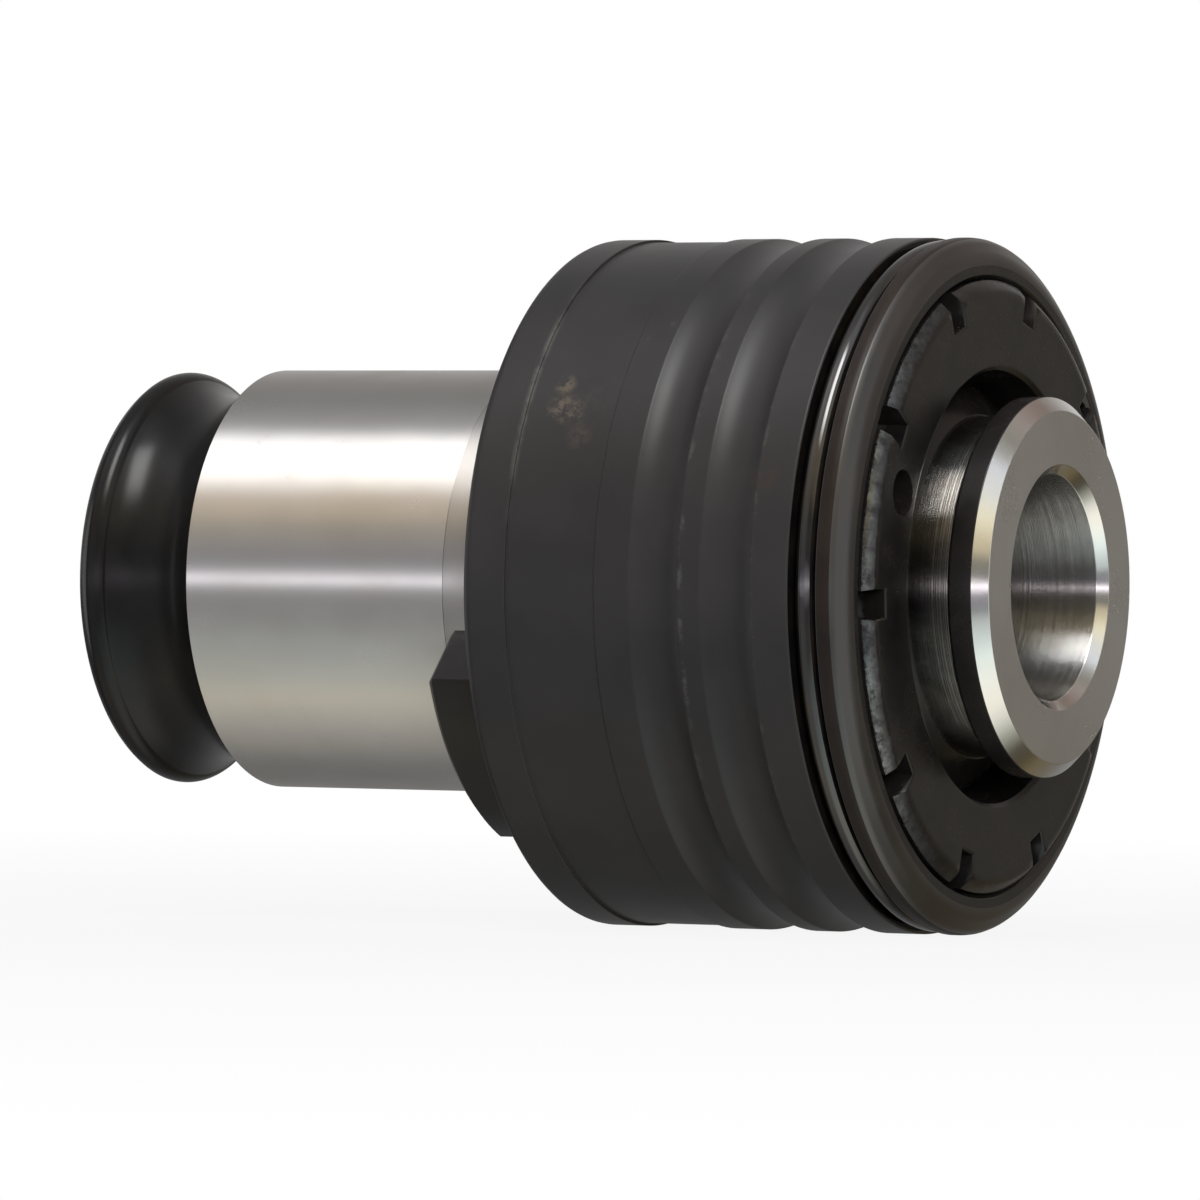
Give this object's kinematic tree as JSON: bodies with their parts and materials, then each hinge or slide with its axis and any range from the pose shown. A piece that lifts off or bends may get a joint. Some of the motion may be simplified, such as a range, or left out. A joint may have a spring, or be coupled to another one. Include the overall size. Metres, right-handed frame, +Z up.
{
  "type": "tapping head",
  "caption": "Quick-change tapping head: round shank with ball groove and drive lugs, cup with grip grooves, slotted clutch nut, push-back nose sleeve.",
  "frame": {"origin": "centre of the flange's seat face, on the axis, where the shank meets the flange", "axes": "+X along the axis towards the nose, +Z up with the head lying on its round body, -Y towards the side with the bare band and one drive lug below it"},
  "size_m": [0.0727, 0.05, 0.05],
  "materials": {
    "black_steel": "black oxide over turned steel, satin",
    "hard_steel": "hardened and ground",
    "ball_steel": "polished bearing balls",
    "spring_steel": "spring steel, lightly oiled",
    "bronze": "sintered bearing bronze"
  },
  "bodies": {
    "housing": {"shank_body": "black_steel", "rear_bush": "bronze", "front_bush": "bronze", "pocket_ring": "hard_steel", "dowel_pins": "hard_steel", "disc_spring_1": "spring_steel", "disc_spring_2": "spring_steel", "disc_spring_3": "spring_steel", "disc_spring_4": "spring_steel", "lock_wire": "spring_steel"},
    "holder": {"tap_holder": "black_steel", "rear_washer": "hard_steel", "rear_circlip": "spring_steel", "release_spring": "spring_steel"},
    "pressure": {"pressure_ring": "hard_steel", "clutch_balls": "ball_steel"},
    "bearing": {"thrust_cage": "bronze", "thrust_balls": "ball_steel"},
    "race": {"thrust_race": "hard_steel"},
    "preload": {"spring_washer": "hard_steel"},
    "nut": {"adjusting_nut": "black_steel"},
    "release": {"release_sleeve": "black_steel", "locking_balls": "ball_steel", "stop_ring": "spring_steel"}
  },
  "joints": [
    {"name": "clutch_slip", "type": "hinge", "parent": "housing", "child": "holder", "pos_m": [0, 0, 0], "axis": [-1, 0, 0], "range_deg": [0, 4], "stiffness_Nm_per_rad": 0.5, "springref_deg": -5.73},
    {"name": "clutch_lift", "type": "slide", "parent": "holder", "child": "pressure", "axis": [1, 0, 0], "range_m": [0, 0.0013], "deforming": ["disc_spring_1", "disc_spring_2", "disc_spring_3", "disc_spring_4"]},
    {"name": "thrust_roll", "type": "hinge", "parent": "pressure", "child": "bearing", "pos_m": [0, 0, 0], "axis": [-1, 0, 0], "range_deg": [-2.1, 0]},
    {"name": "race_hold", "type": "hinge", "parent": "pressure", "child": "race", "pos_m": [0, 0, 0], "axis": [-1, 0, 0], "range_deg": [-4.1, 0]},
    {"name": "nut_turn", "type": "hinge", "parent": "preload", "child": "nut", "pos_m": [0, 0, 0], "axis": [1, 0, 0], "range_deg": [-108, 144], "deforming": ["lock_wire"]},
    {"name": "nut_advance", "type": "slide", "parent": "housing", "child": "preload", "axis": [1, 0, 0], "range_m": [-0.00045, 0.0006]},
    {"name": "release_push", "type": "slide", "parent": "holder", "child": "release", "axis": [1, 0, 0], "range_m": [-0.003, 0], "stiffness_N_per_m": 2000, "springref_m": 0.004, "deforming": ["release_spring"]}
  ],
  "couplings": [
    {"joint": "clutch_lift", "follows": "clutch_slip", "m_per_rad": 0.0182},
    {"joint": "thrust_roll", "follows": "clutch_slip", "ratio": -0.5},
    {"joint": "race_hold", "follows": "clutch_slip", "ratio": -1},
    {"joint": "nut_advance", "follows": "nut_turn", "m_per_rad": 0.00023873}
  ]
}
